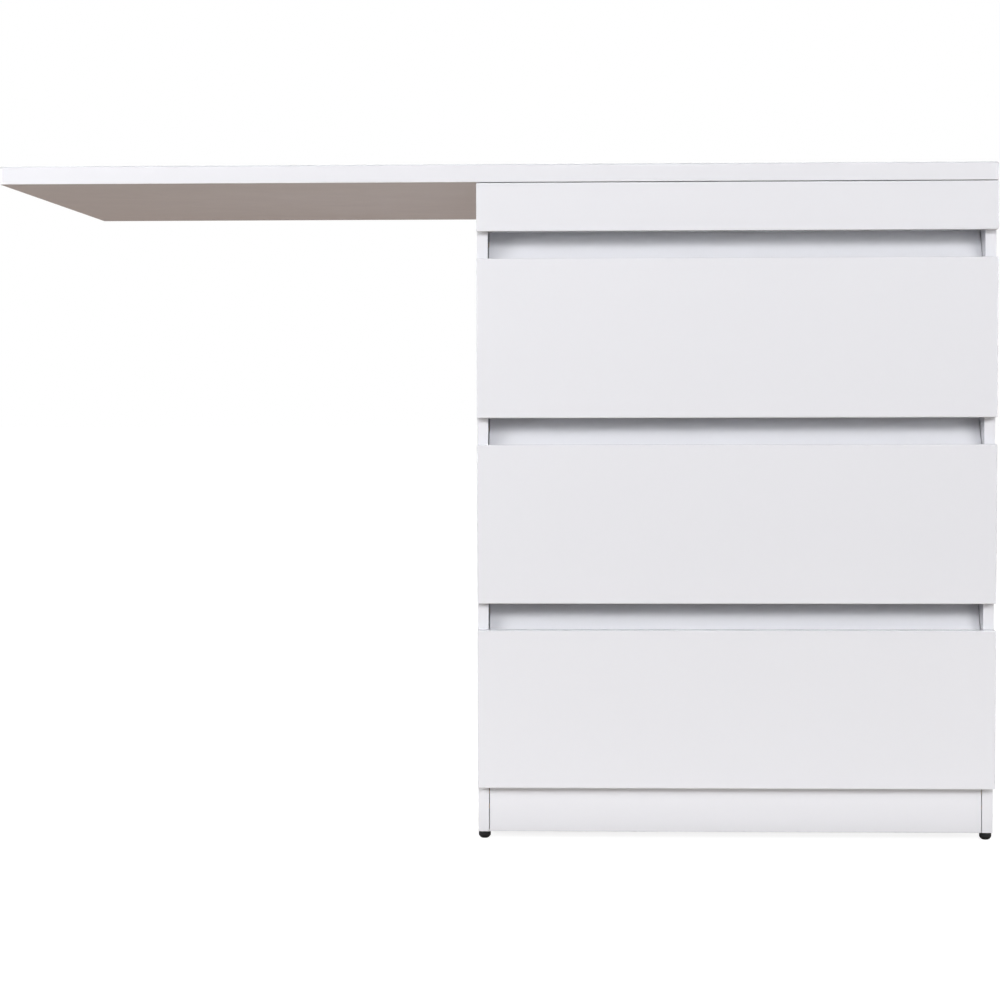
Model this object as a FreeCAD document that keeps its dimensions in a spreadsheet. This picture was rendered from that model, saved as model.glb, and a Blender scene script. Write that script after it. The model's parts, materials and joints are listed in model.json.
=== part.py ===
"""Corner desk: a long top that rests on a three-drawer chest and reaches out over a free knee space.

Millimetres, +Z up.  The origin is on the floor, under the middle of the top.  The drawers open towards -Y,
the chest is at the +X end and the knee space at the -X end.
"""
import FreeCAD, Part
import os
import re

import Sketcher
from FreeCAD import Placement, Rotation, Vector

# ---------------------------------------------------------------------------------------------------------
# Driving dimensions: alias, value in mm (or degrees), meaning
# ---------------------------------------------------------------------------------------------------------
CELLS = [
    ("overall_width", 1100, "length of the top"),
    ("overall_depth", 600, "depth of the top"),
    ("overall_height", 750, "floor to the upper face of the top"),
    ("desktop_thick", 20, "thickness of the top"),
    ("desktop_round", 3, "rounding of the top's upper edges and corners"),
    ("desktop_arris", 1, "rounding of the top's lower edges"),
    ("chest_width", 572, "width of the chest, outside the side panels"),
    ("carcass_board", 12, "thickness of the chest's boards"),
    ("front_board", 15, "thickness of the drawer fronts"),
    ("front_setback", 16, "from the face of the fronts back to the carcass edges"),
    ("front_round", 1.2, "rounding of the edges of the fronts"),
    ("panel_arris", 0.5, "rounding of the carcass edges that show"),
    ("back_overhang", 10, "how far the top reaches behind the chest"),
    ("foot_lift", 8.4, "floor to the underside of the chest"),
    ("lower_front_up", 59.5, "floor to the lower edge of the lowest drawer front"),
    ("frieze_high", 54, "underside of the top to the lower edge of the frieze"),
    ("frieze_gap", 0.8, "joint line between the frieze and the top"),
    ("finger_gap", 29.5, "opening above each drawer front"),
    ("plinth_high", 55.6, "height of the plinth"),
    ("plinth_gap", 0.8, "joint line at each end of the plinth"),
    ("top_rail_wide", 60, "width of the rails under the top"),
    ("grip_tilt", 31.5, "lean of a grip rail, degrees from upright"),
    ("grip_drop", 24.6, "how far a grip rail starts below the top of the drawer front"),
    ("grip_rise", 6, "how far a grip rail reaches above its opening"),
    ("grip_inset", 3, "foot of a grip rail behind the carcass edges"),
    ("grip_gap", 0.6, "gap at each end of a grip rail"),
    ("back_panel_thick", 3, "thickness of the back panel"),
    ("back_panel_inset", 8, "back panel to the rear edge of the sides"),
    ("groove_deep", 5, "depth of the grooves for thin panels"),
    ("groove_play", 0.2, "play of a thin panel in its groove"),
    ("box_lift", 20, "lower edge of a drawer front to the lower edge of its box"),
    ("box_drop", 36, "upper edge of a drawer front to the upper edge of its box"),
    ("box_board", 12, "thickness of the box boards"),
    ("box_rear_space", 64, "between a drawer box and the back panel"),
    ("box_bottom_thick", 3, "thickness of a drawer bottom"),
    ("box_bottom_up", 12, "lower edge of the box to the drawer bottom"),
    ("runner_space", 12.5, "between the side panel and the drawer box"),
    ("runner_back_off", 2, "each end of a runner to the end of the box or of the carcass that it follows"),
    ("runner_metal", 1.2, "thickness of the runner steel"),
    ("channel_high", 27, "height of the cabinet member"),
    ("channel_lip", 9.5, "width of the cabinet member"),
    ("channel_drop", 2.8, "lower edge of the box to the underside of the cabinet member"),
    ("flange_clear", 1.4, "between the drawer member and the upper lip of the cabinet member"),
    ("flange_short", 3, "between the drawer member's track and the side panel"),
    ("roller_dia", 21.4, "diameter of a roller"),
    ("roller_wide", 6, "width of a roller"),
    ("roller_play", 0.1, "between a roller and the track that it carries or rolls on"),
    ("roller_side_play", 0.4, "beside a roller"),
    ("roller_end", 14, "roller axle to the end of its runner"),
    ("axle_dia", 5, "diameter of a roller axle"),
    ("axle_fit", 0.05, "radial clearance of a roller on its axle"),
    ("axle_head_dia", 8, "diameter of the riveted head of an axle"),
    ("axle_head_thick", 1, "thickness of the riveted head of an axle"),
    ("hole_play", 0.1, "radial play of hardware in its hole"),
    ("hole_extra", 0.3, "extra depth of a blind hole"),
    ("small_screw_dia", 3, "runner screw"),
    ("small_screw_long", 10, "runner screw, under the head"),
    ("small_head_dia", 6, "runner screw head"),
    ("small_head_high", 1.2, "runner screw head"),
    ("runner_screw_inset", 60, "outer screws of a runner to its ends"),
    ("long_screw_dia", 4, "screw that holds the top"),
    ("long_screw_long", 24, "screw that holds the top, over all"),
    ("long_head_dia", 8, "its countersunk head"),
    ("desktop_screw_inset", 70, "outer screws of the top to the sides of the chest"),
    ("cam_dia", 12, "cam of a connecting fitting"),
    ("cam_high", 9.6, "height of a cam"),
    ("cam_bore", 10, "depth of the hole for a cam"),
    ("cam_reach", 24, "joint face to the centre of the cam"),
    ("cam_wall", 1.4, "wall of a cam"),
    ("bolt_thread_dia", 5, "thread of the cam bolt"),
    ("bolt_thread_long", 9, "thread of the cam bolt"),
    ("bolt_shaft_dia", 4.4, "shaft of the cam bolt"),
    ("bolt_head_dia", 6.4, "head of the cam bolt"),
    ("bolt_head_long", 2.6, "head of the cam bolt"),
    ("bolt_hole_dia", 7, "hole for the cam bolt in the end of a board"),
    ("dowel_dia", 6, "wooden dowel"),
    ("dowel_short", 9, "part of a dowel in the face of a board"),
    ("dowel_long", 15, "part of a dowel in the end of a board"),
    ("dowel_inset", 40, "dowels of the bottom panel to its cams"),
    ("bottom_cam_inset", 60, "cams of the bottom panel to its front and rear edges"),
    ("insert_dia", 7.2, "sleeve in the lower edge of a side panel"),
    ("insert_long", 18, "length of that sleeve"),
    ("foot_dia", 13.6, "diameter of a foot"),
    ("foot_sole_dia", 7.6, "diameter of the sole of a foot"),
    ("foot_bowl_high", 3.2, "height of the rounded lower part of a foot"),
    ("foot_high", 6.9, "floor to the shoulder of a foot"),
    ("foot_stem_dia", 5, "diameter of the stem of a foot"),
    ("foot_stem_long", 16, "length of the stem of a foot"),
    ("foot_fit", 0.05, "radial clearance of the stem in its sleeve"),
    ("foot_inset", 9, "front feet behind the carcass edge"),
    ("foot_inset_back", 30, "rear feet in front of the rear edge"),
]

doc = FreeCAD.newDocument("CornerDesk")
sheet = doc.addObject("Spreadsheet::Sheet", "Dims")
for row, (alias, value, meaning) in enumerate(CELLS, start=1):
    sheet.set(f"A{row}", meaning)
    sheet.set(f"B{row}", str(value))
    sheet.setAlias(f"B{row}", alias)
doc.recompute()

ALIASES = re.compile(r"\b(" + "|".join(alias for alias, _, _ in CELLS) + r")\b")
FEATURES = []
SUBPARTS = []


def bound(text):
    """A formula in aliases as a FreeCAD expression on the spreadsheet."""
    return ALIASES.sub(r"Dims.\1", str(text))


def number(text):
    """The value of a formula in aliases, worked out by the document's own expression engine."""
    answer = sheet.evalExpression(bound(text).replace("Dims.", ""))
    return float(getattr(answer, "Value", answer))


# ---------------------------------------------------------------------------------------------------------
# Places that several pieces share, as formulas in the aliases
# ---------------------------------------------------------------------------------------------------------
FACE_Y = "(-overall_depth / 2)"
EDGE_Y = "(-overall_depth / 2 + front_setback)"
FRONT_BACK_Y = "(-overall_depth / 2 + front_board)"
REAR_Y = "(overall_depth / 2 - back_overhang)"
INNER_REAR_Y = f"({REAR_Y} - back_panel_inset - back_panel_thick)"
CHEST_RIGHT = "(overall_width / 2)"
CHEST_LEFT = f"({CHEST_RIGHT} - chest_width)"
CHEST_MID = f"({CHEST_RIGHT} - chest_width / 2)"
INNER_LEFT = f"({CHEST_LEFT} + carcass_board)"
INNER_RIGHT = f"({CHEST_RIGHT} - carcass_board)"
INNER_WIDTH = "(chest_width - 2 * carcass_board)"
TOP_Z = "(overall_height - desktop_thick)"
FRIEZE_Z = f"({TOP_Z} - frieze_high)"
FLOOR_BOARD_Z = "(foot_lift + plinth_high)"
TOP_RAIL_Z = f"({TOP_Z} - carcass_board)"
FRONT_RAIL_MID_Y = f"({EDGE_Y} + top_rail_wide / 2)"
BACK_RAIL_MID_Y = f"({INNER_REAR_Y} - top_rail_wide / 2)"
BOX_LEFT = f"({INNER_LEFT} + runner_space)"
BOX_RIGHT = f"({INNER_RIGHT} - runner_space)"
BOX_REAR_Y = f"({INNER_REAR_Y} - box_rear_space)"
TILT = "(grip_tilt * 1 deg)"
GRIP_WIDE = f"((grip_drop + finger_gap + grip_rise) / cos({TILT}))"
SIDES = ("left", "right")
LEVELS = ("upper", "middle", "lower")
FRONT_HIGH = f"(({FRIEZE_Z} - lower_front_up) / {len(LEVELS)} - finger_gap)"
BOX_HIGH = f"({FRONT_HIGH} - box_lift - box_drop)"
BOX_LONG = f"({INNER_REAR_Y} - {FRONT_BACK_Y} - box_rear_space)"
RUNNER_LONG = f"({BOX_LONG} - 2 * runner_back_off)"


def front_z(level):
    """Lower edge of the drawer front at this level, 0 for the upper drawer."""
    return f"({FRIEZE_Z} - {level + 1} * (finger_gap + {FRONT_HIGH}))"


def front_top_z(level):
    return f"({front_z(level)} + {FRONT_HIGH})"


def box_z(level):
    return f"({front_z(level)} + box_lift)"


def channel_z(level):
    """Underside of the cabinet runners at this level."""
    return f"({box_z(level)} + channel_drop)"


# ---------------------------------------------------------------------------------------------------------
# Sketches, boards and turned pieces
# ---------------------------------------------------------------------------------------------------------
ROLES = {"x": "YZ_Plane", "y": "XZ_Plane", "z": "XY_Plane"}
NORMAL_SIGN = {"x": 1, "y": -1, "z": 1}


def new_sketch(body, axis, level="0"):
    """A sketch on the body's origin plane square to axis, moved along that axis to level."""
    sketch = body.newObject("Sketcher::SketchObject", "Sketch")
    plane = next(f for f in body.Origin.OriginFeatures if f.Role == ROLES[axis])
    sketch.AttachmentSupport = [(plane, "")]
    sketch.MapMode = "FlatFace"
    sketch.setExpression("AttachmentOffset.Base.z", bound(f"{NORMAL_SIGN[axis]} * ({level})"))
    return sketch


def place_point(sketch, geometry, vertex, u, v):
    """Holds a vertex at u, v from the sketch's origin, both formulas."""
    for kind, formula in (("DistanceX", u), ("DistanceY", v)):
        where = sketch.addConstraint(Sketcher.Constraint(kind, -1, 1, geometry, vertex, number(formula)))
        sketch.setExpression(f"Constraints[{where}]", bound(formula))


def polygon(sketch, corners):
    """A closed outline through corners, a list of (u, v) formulas."""
    points = [Vector(number(u), number(v), 0) for u, v in corners]
    count = len(points)
    edges = [Part.LineSegment(points[i], points[(i + 1) % count]) for i in range(count)]
    lines = [sketch.addGeometry(edge, False) for edge in edges]
    for i in range(count):
        sketch.addConstraint(Sketcher.Constraint("Coincident", lines[i], 2, lines[(i + 1) % count], 1))
    for line, (u, v) in zip(lines, corners):
        place_point(sketch, line, 1, u, v)


def circle(sketch, u, v, diameter):
    centre = Vector(number(u), number(v), 0)
    ring = sketch.addGeometry(Part.Circle(centre, Vector(0, 0, 1), number(diameter) / 2), False)
    place_point(sketch, ring, 3, u, v)
    size = sketch.addConstraint(Sketcher.Constraint("Diameter", ring, number(diameter)))
    sketch.setExpression(f"Constraints[{size}]", bound(diameter))


def rectangle(u, v, wide, high):
    """The corners of a rectangle from its lower left corner and its size."""
    return [(u, v), (f"{u} + {wide}", v), (f"{u} + {wide}", f"{v} + {high}"), (u, f"{v} + {high}")]


def add_feature(body, kind, sketch, removes=False):
    feature = body.newObject(f"PartDesign::{kind}", kind)
    feature.Profile = sketch
    FEATURES.append((body, feature, removes))
    return feature


class Piece:
    """A PartDesign body with its own origin at corner, three formulas.

    Places given to its methods are in the desk's frame.
    """

    def __init__(self, label, corner, exported=True):
        self.body = doc.addObject("PartDesign::Body", label)
        self.body.Label = label
        self.corner = dict(zip("xyz", corner))
        for axis, formula in self.corner.items():
            self.body.setExpression(f"Placement.Base.{axis}", bound(formula))
        if exported:
            SUBPARTS.append(self.body)

    def local(self, axis, formula):
        return f"({formula}) - ({self.corner[axis]})"

    def pad(self, axis, level, outline, length):
        """Pads an outline of local (u, v) formulas from level along +axis."""
        sketch = new_sketch(self.body, axis, level)
        polygon(sketch, outline)
        pad = add_feature(self.body, "Pad", sketch)
        pad.Reversed = NORMAL_SIGN[axis] < 0
        pad.setExpression("Length", bound(length))
        doc.recompute()
        return pad

    def disc(self, axis, level, u, v, diameter, length):
        sketch = new_sketch(self.body, axis, level)
        circle(sketch, u, v, diameter)
        pad = add_feature(self.body, "Pad", sketch)
        pad.Reversed = NORMAL_SIGN[axis] < 0
        pad.setExpression("Length", bound(length))
        doc.recompute()
        return pad

    def _cut(self, sketch, direction, depth):
        pocket = add_feature(self.body, "Pocket", sketch, removes=True)
        sign = 1 if direction[0] == "+" else -1
        pocket.Reversed = sign * NORMAL_SIGN[direction[1]] > 0
        pocket.setExpression("Length", bound(depth))
        doc.recompute()
        return pocket

    def drill(self, direction, mouth, centres, diameter, depth):
        """Round holes along direction, such as "+x", from the plane mouth; centres are on the other axes."""
        axis = direction[1]
        others = [a for a in "xyz" if a != axis]
        sketch = new_sketch(self.body, axis, self.local(axis, mouth))
        for u, v in centres:
            circle(sketch, self.local(others[0], u), self.local(others[1], v), diameter)
        return self._cut(sketch, direction, depth)

    def mill(self, direction, mouth, corner, size, depth):
        """A rectangular cut along direction, from the plane mouth; corner and size are on the other axes."""
        axis = direction[1]
        others = [a for a in "xyz" if a != axis]
        sketch = new_sketch(self.body, axis, self.local(axis, mouth))
        u, v = (self.local(a, c) for a, c in zip(others, corner))
        polygon(sketch, rectangle(u, v, *size))
        return self._cut(sketch, direction, depth)

    def round_edges(self, radius, chosen):
        """Rounds the edges of the body so far for which chosen(edge) is true."""
        base = self.body.Tip
        names = [f"Edge{i}" for i, edge in enumerate(base.Shape.Edges, start=1) if chosen(edge)]
        fillet = self.body.newObject("PartDesign::Fillet", "Fillet")
        fillet.Base = (base, names)
        fillet.setExpression("Radius", bound(radius))
        FEATURES.append((self.body, fillet, True))
        doc.recompute()
        return fillet


def board(label, corner, size):
    """A rectangular board from its lower left front corner and its size."""
    piece = Piece(label, corner)
    piece.size = size
    piece.pad("z", "0", rectangle("0", "0", size[0], size[1]), size[2])
    return piece


def turned(label, outline):
    """A turned piece: outline is a closed list of (radius, height) formulas, spun about Z."""
    piece = Piece(label, ("0", "0", "0"), exported=False)
    sketch = new_sketch(piece.body, "y")
    polygon(sketch, outline)
    turn = add_feature(piece.body, "Revolution", sketch)
    turn.ReferenceAxis = (sketch, ["V_Axis"])
    turn.Angle = 360
    doc.recompute()
    return piece


AIM = {
    "+x": Rotation(Vector(0, 0, 1), Vector(1, 0, 0)),
    "-x": Rotation(Vector(0, 0, 1), Vector(-1, 0, 0)),
    "+y": Rotation(Vector(0, 0, 1), Vector(0, 1, 0)),
    "-y": Rotation(Vector(0, 0, 1), Vector(0, -1, 0)),
    "+z": Rotation(),
    "-z": Rotation(Vector(1, 0, 0), 180),
}


def group(label, places):
    """One sub-part made of copies: places is a list of (piece, (x, y, z) formulas, rotation)."""
    links = []
    for piece, where, rotation in places:
        link = doc.addObject("App::Link", f"{label}_copy")
        link.LinkedObject = piece.body
        link.LinkPlacement = Placement(Vector(), rotation)
        for axis, formula in zip("xyz", where):
            link.setExpression(f"LinkPlacement.Base.{axis}", bound(formula))
        links.append(link)
    compound = doc.addObject("Part::Compound", label)
    compound.Label = label
    compound.Links = links
    SUBPARTS.append(compound)
    return compound


def is_upright(edge):
    return abs(edge.BoundBox.ZLength - edge.Length) < 1e-6


def any_edge(_edge):
    return True


# ---------------------------------------------------------------------------------------------------------
# Hardware masters: each points along +Z and starts at the face that it is fitted from
# ---------------------------------------------------------------------------------------------------------
def make_small_screw():
    """Pan-head screw; the head's underside is at Z 0."""
    return turned("small_screw_master", [
        ("0", "-small_head_high"), ("small_head_dia / 2 * 0.7", "-small_head_high"),
        ("small_head_dia / 2", "-small_head_high / 3"), ("small_head_dia / 2", "0"),
        ("small_screw_dia / 2", "0"),
        ("small_screw_dia / 2", "small_screw_long - small_screw_dia / 2"), ("0", "small_screw_long"),
    ])


def make_long_screw():
    """Countersunk screw; the top of the head is at Z 0."""
    cone = "(long_head_dia - long_screw_dia) / 2"
    return turned("long_screw_master", [
        ("0", "0"), ("long_head_dia / 2", "0"), ("long_screw_dia / 2", cone),
        ("long_screw_dia / 2", "long_screw_long - long_screw_dia / 2"), ("0", "long_screw_long"),
    ])


def make_dowel():
    """Dowel with chamfered ends; the joint face is at Z 0 and the short part is below it."""
    return turned("dowel_master", [
        ("0", "-dowel_short"), ("dowel_dia / 2 - 1", "-dowel_short"), ("dowel_dia / 2", "1 - dowel_short"),
        ("dowel_dia / 2", "dowel_long - 1"), ("dowel_dia / 2 - 1", "dowel_long"), ("0", "dowel_long"),
    ])


def make_cam_bolt():
    """Cam bolt; the joint face is at Z 0, the thread is below it and the head lies in the cam."""
    neck = "cam_reach - bolt_head_long * 1.5"
    return turned("cam_bolt_master", [
        ("0", "-bolt_thread_long"), ("bolt_thread_dia / 2 - 1", "-bolt_thread_long"),
        ("bolt_thread_dia / 2", "1 - bolt_thread_long"), ("bolt_thread_dia / 2", "0"),
        ("bolt_shaft_dia / 2", "0"),
        ("bolt_shaft_dia / 2", neck), ("bolt_shaft_dia / 2 - 0.7", neck),
        ("bolt_shaft_dia / 2 - 0.7", "cam_reach - bolt_head_long / 2"),
        ("bolt_head_dia / 2", "cam_reach - bolt_head_long / 2"),
        ("bolt_head_dia / 2", "cam_reach + bolt_head_long / 2"),
        ("0", "cam_reach + bolt_head_long / 2"),
    ])


def make_cam():
    """Cam housing: a cup with its closed, slotted face at Z 0 and its open side slot towards -X."""
    cam = Piece("cam_master", ("0", "0", "0"), exported=False)
    cam.disc("z", "0", "0", "0", "cam_dia", "cam_high")
    cam.drill("-z", "cam_high", [("0", "0")], "cam_dia - 2 * cam_wall", "cam_high - 2 * cam_wall")
    slot = "(bolt_hole_dia + 2 * hole_play)"
    cam.mill("-z", "cam_high", ("-cam_dia / 2", f"-{slot} / 2"), ("cam_dia / 2", slot),
             "cam_high - 2 * cam_wall")
    cam.mill("+z", "0", ("-cam_dia / 3", "-0.6"), ("2 * cam_dia / 3", "1.2"), "cam_wall")
    return cam


def make_insert():
    """Sleeve for a foot; its mouth is at Z 0."""
    bore = "(foot_stem_dia / 2 + foot_fit)"
    return turned("insert_master", [
        (bore, "0"), ("insert_dia / 2", "0"), ("insert_dia / 2", "insert_long"), (bore, "insert_long"),
    ])


def make_roller():
    """Roller with a rounded tread, centred on its axle, which is the Z axis."""
    bore = "(axle_dia / 2 + axle_fit)"
    half = "(roller_wide / 2)"
    rim = "(roller_dia / 2)"
    return turned("roller_master", [
        (bore, f"-{half}"), ("roller_dia / 3", f"-{half}"), ("roller_dia / 3", f"0.6 - {half}"),
        (f"{rim} - 1.6", f"0.6 - {half}"), (f"{rim} - 1.6", f"-{half}"), (f"{rim} - 0.8", f"-{half}"),
        (rim, f"0.8 - {half}"), (rim, f"{half} - 0.8"), (f"{rim} - 0.8", half), (bore, half),
    ])


small_screw = make_small_screw()
long_screw = make_long_screw()
dowel = make_dowel()
cam_bolt = make_cam_bolt()
cam = make_cam()
insert = make_insert()
roller = make_roller()

# ---------------------------------------------------------------------------------------------------------
# Where the joints of the carcass are: height and depth of each, in the desk's frame
# ---------------------------------------------------------------------------------------------------------
FLOOR_MID_Z = f"({FLOOR_BOARD_Z} + carcass_board / 2)"
TOP_RAIL_MID_Z = f"({TOP_RAIL_Z} + carcass_board / 2)"
FLOOR_CAM_YS = [f"({EDGE_Y} + bottom_cam_inset)", f"({INNER_REAR_Y} - bottom_cam_inset)"]
FLOOR_DOWEL_YS = [f"({FLOOR_CAM_YS[0]} + dowel_inset)", f"({FLOOR_CAM_YS[1]} - dowel_inset)"]
RAIL_CAM_YS = [FRONT_RAIL_MID_Y, BACK_RAIL_MID_Y]
RAIL_DOWEL_YS = [f"({y} + top_rail_wide / 3)" for y in RAIL_CAM_YS]
PLINTH_DOWEL_ZS = ["(foot_lift + plinth_high * 0.5)", "(foot_lift + plinth_high * 0.8)"]
PLINTH_MID_Y = f"({EDGE_Y} + carcass_board / 2)"
FRIEZE_DOWEL_ZS = [f"({FRIEZE_Z} + frieze_high / 3)", f"({FRIEZE_Z} + frieze_high * 2 / 3)"]
FOOT_YS = {"front": f"({EDGE_Y} + foot_inset)", "back": f"({REAR_Y} - foot_inset_back)"}
PANEL_MID_X = {"left": f"({CHEST_LEFT} + carcass_board / 2)", "right": f"({CHEST_RIGHT} - carcass_board / 2)"}
INNER_X = {"left": INNER_LEFT, "right": INNER_RIGHT}
FOOT_X = {"left": f"({CHEST_LEFT} + foot_dia / 2)", "right": f"({CHEST_RIGHT} - foot_dia / 2)"}
OUTWARD = {"left": "-x", "right": "+x"}
INWARD = {"left": "+x", "right": "-x"}
INWARD_SIGN = {"left": "+", "right": "-"}
RUNNER_Y = f"({EDGE_Y} + runner_back_off)"
RUNNER_SCREW_OFFSETS = ("runner_screw_inset", f"({RUNNER_LONG} / 2)", f"({RUNNER_LONG} - runner_screw_inset)")
RUNNER_SCREW_YS = [f"({RUNNER_Y} + {offset})" for offset in RUNNER_SCREW_OFFSETS]


def grip_origin(level):
    """Y and Z of the lower front corner of the grip rail above the drawer at this level."""
    return f"({EDGE_Y} + grip_inset)", f"({front_top_z(level)} - grip_drop)"


def grip_point(level, along, into):
    """Y and Z of a point of a grip rail, along its width and into its thickness."""
    y, z = grip_origin(level)
    return (f"({y} + ({along}) * sin({TILT}) + ({into}) * cos({TILT}))",
            f"({z} + ({along}) * cos({TILT}) - ({into}) * sin({TILT}))")


def grip_dowels(level):
    return [grip_point(level, f"{GRIP_WIDE} * {share}", "carcass_board / 2") for share in (0.25, 0.75)]


def runner_screw_z(level):
    return f"({channel_z(level)} + channel_high / 2)"


# ---------------------------------------------------------------------------------------------------------
# Top and carcass
# ---------------------------------------------------------------------------------------------------------
def make_desktop():
    top = board("desktop", ("-overall_width / 2", FACE_Y, TOP_Z),
                ("overall_width", "overall_depth", "desktop_thick"))
    thick = number("desktop_thick")
    top.round_edges("desktop_round", lambda e: is_upright(e) or e.BoundBox.ZMin > thick - 1e-6)
    top.round_edges("desktop_arris", lambda e: e.BoundBox.ZMax < 1e-6)
    centres = [(x, y) for x in DESKTOP_SCREW_XS for y in RAIL_CAM_YS]
    top.drill("+z", TOP_Z, centres, "long_screw_dia + 2 * hole_play",
              "long_screw_long - carcass_board + hole_extra")


def make_side_panel(side):
    left_x = CHEST_LEFT if side == "left" else INNER_RIGHT
    deep = f"({REAR_Y} - {EDGE_Y})"
    panel = board(f"side_panel_{side}", (left_x, EDGE_Y, "foot_lift"),
                  ("carcass_board", deep, f"({TOP_Z} - foot_lift)"))
    panel.round_edges("panel_arris", lambda e: e.BoundBox.YMax < 1e-6 and is_upright(e))
    inner, outward = INNER_X[side], OUTWARD[side]
    groove_x = f"({inner} - groove_deep)" if side == "left" else inner
    panel.mill("-z", TOP_Z, (groove_x, f"({INNER_REAR_Y} - groove_play / 2)"),
               ("groove_deep", "back_panel_thick + groove_play"), f"{TOP_Z} - {FLOOR_BOARD_Z}")
    bolts = [(y, FLOOR_MID_Z) for y in FLOOR_CAM_YS] + [(y, TOP_RAIL_MID_Z) for y in RAIL_CAM_YS]
    panel.drill(outward, inner, bolts, "bolt_thread_dia + 2 * hole_play", "bolt_thread_long + hole_extra")
    dowels = [(y, FLOOR_MID_Z) for y in FLOOR_DOWEL_YS] + [(y, TOP_RAIL_MID_Z) for y in RAIL_DOWEL_YS]
    dowels += [(PLINTH_MID_Y, z) for z in PLINTH_DOWEL_ZS]
    dowels += [place for level in range(len(LEVELS)) for place in grip_dowels(level)]
    panel.drill(outward, inner, dowels, "dowel_dia + 2 * hole_play", "dowel_short + hole_extra")
    screws = [(y, runner_screw_z(level)) for level in range(len(LEVELS)) for y in RUNNER_SCREW_YS]
    panel.drill(outward, inner, screws, "small_screw_dia + 2 * hole_play",
                "small_screw_long - runner_metal + hole_extra")
    panel.drill("+y", EDGE_Y, [(PANEL_MID_X[side], z) for z in FRIEZE_DOWEL_ZS],
                "dowel_dia + 2 * hole_play", "dowel_long + hole_extra")
    panel.drill("+z", "foot_lift", [(FOOT_X[side], y) for y in FOOT_YS.values()],
                "insert_dia + 2 * hole_play", "insert_long + foot_stem_long / 8")


def bore_ends(piece, places, diameter, depth):
    """Holes of the same places in both ends of a board that lies between the side panels."""
    left = piece.corner["x"]
    piece.drill("+x", left, places, diameter, depth)
    piece.drill("-x", f"{left} + {piece.size[0]}", places, diameter, depth)


def make_floor_board():
    floor = board("bottom_panel", (INNER_LEFT, EDGE_Y, FLOOR_BOARD_Z),
                  (INNER_WIDTH, f"({INNER_REAR_Y} - {EDGE_Y})", "carcass_board"))
    bore_ends(floor, [(y, FLOOR_MID_Z) for y in FLOOR_CAM_YS], "bolt_hole_dia", "cam_reach")
    bore_ends(floor, [(y, FLOOR_MID_Z) for y in FLOOR_DOWEL_YS], "dowel_dia + 2 * hole_play",
              "dowel_long + hole_extra")
    cams = [(x, y) for x in (f"{INNER_LEFT} + cam_reach", f"{INNER_RIGHT} - cam_reach") for y in FLOOR_CAM_YS]
    floor.drill("+z", FLOOR_BOARD_Z, cams, "cam_dia + 2 * hole_play", "cam_bore")


def make_top_rail(name, start_y, mid_y, dowel_y):
    rail = board(name, (INNER_LEFT, start_y, TOP_RAIL_Z), (INNER_WIDTH, "top_rail_wide", "carcass_board"))
    bore_ends(rail, [(mid_y, TOP_RAIL_MID_Z)], "bolt_hole_dia", "cam_reach")
    bore_ends(rail, [(dowel_y, TOP_RAIL_MID_Z)], "dowel_dia + 2 * hole_play", "dowel_long + hole_extra")
    cams = [(f"{INNER_LEFT} + cam_reach", mid_y), (f"{INNER_RIGHT} - cam_reach", mid_y)]
    rail.drill("+z", TOP_RAIL_Z, cams, "cam_dia + 2 * hole_play", "cam_bore")
    rail.drill("+z", TOP_RAIL_Z, [(x, mid_y) for x in DESKTOP_SCREW_XS], "long_screw_dia + 2 * hole_play",
               "carcass_board")
    rail.drill("+z", TOP_RAIL_Z, [(x, mid_y) for x in DESKTOP_SCREW_XS], "long_head_dia + 2 * hole_play",
               "(long_head_dia - long_screw_dia) / 2 + hole_play")


def make_grip_rail(level):
    """A board that leans back between the side panels, so that fingers fit behind the top of the front."""
    y, z = grip_origin(level)
    rail = Piece(f"grip_rail_{LEVELS[level]}", (f"{INNER_LEFT} + grip_gap", y, z))
    rail.size = (f"({INNER_WIDTH} - 2 * grip_gap)",)
    along = f"({GRIP_WIDE})"
    outline = [("0", "0"), (f"{along} * sin({TILT})", f"{along} * cos({TILT})"),
               (f"{along} * sin({TILT}) + carcass_board * cos({TILT})",
                f"{along} * cos({TILT}) - carcass_board * sin({TILT})"),
               (f"carcass_board * cos({TILT})", f"-carcass_board * sin({TILT})")]
    rail.pad("x", "0", outline, rail.size[0])
    wide = number(rail.size[0])
    rail.round_edges("panel_arris", lambda e: abs(e.BoundBox.XLength - wide) < 1e-6)
    bore_ends(rail, grip_dowels(level), "dowel_dia + 2 * hole_play", "dowel_long + hole_extra")


def make_plinth():
    plinth = board("plinth", (f"{INNER_LEFT} + plinth_gap", EDGE_Y, "foot_lift"),
                   (f"({INNER_WIDTH} - 2 * plinth_gap)", "carcass_board", "plinth_high"))
    plinth.round_edges("panel_arris", lambda e: e.BoundBox.YMax < 1e-6)
    bore_ends(plinth, [(PLINTH_MID_Y, z) for z in PLINTH_DOWEL_ZS], "dowel_dia + 2 * hole_play",
              "dowel_long + hole_extra")


def make_frieze():
    frieze = board("frieze", (CHEST_LEFT, FACE_Y, FRIEZE_Z),
                   ("chest_width", "front_setback", "(frieze_high - frieze_gap)"))
    frieze.round_edges("front_round", lambda e: e.BoundBox.YMax < 1e-6 or e.BoundBox.ZMax < 1e-6)
    centres = [(x, z) for x in PANEL_MID_X.values() for z in FRIEZE_DOWEL_ZS]
    frieze.drill("-y", EDGE_Y, centres, "dowel_dia + 2 * hole_play", "dowel_short + hole_extra")


def make_back_panel():
    reach = "(groove_deep - groove_play)"
    board("back_panel", (f"({INNER_LEFT} - {reach})", INNER_REAR_Y, f"({FLOOR_BOARD_Z} + groove_play)"),
          (f"({INNER_WIDTH} + 2 * {reach})", "back_panel_thick",
           f"({TOP_Z} - {FLOOR_BOARD_Z} - 2 * groove_play)"))


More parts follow.
